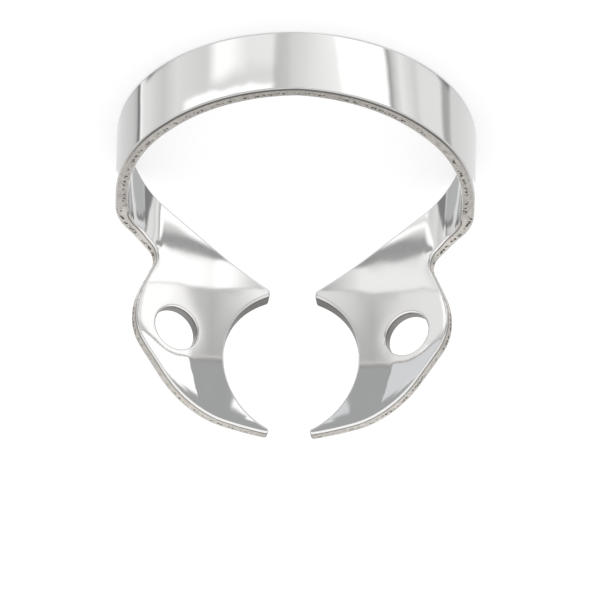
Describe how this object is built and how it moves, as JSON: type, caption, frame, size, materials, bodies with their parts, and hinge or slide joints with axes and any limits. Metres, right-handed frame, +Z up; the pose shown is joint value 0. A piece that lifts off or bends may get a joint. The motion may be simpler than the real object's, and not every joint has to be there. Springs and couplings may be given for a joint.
{
  "type": "rubber dam clamp",
  "caption": "Wingless steel clamp that grips a molar's neck with its pronged jaws and holds a dental rubber dam under its sprung bow.",
  "frame": {"origin": "on the surface the clamp lies on, under the middle of its bounding box", "axes": "+Y from the jaws to the crown of the bow, +Z up from the rear rim of the bow, on which the clamp lies, +X across the jaws"},
  "size_m": [0.0172, 0.0166, 0.0121],
  "materials": {
    "polished_spring_steel": "polished faces, tumbled edges, dull pitted rims"
  },
  "bodies": {
    "root": {"rubber_dam_clamp": "polished_spring_steel"}
  },
  "joints": []
}
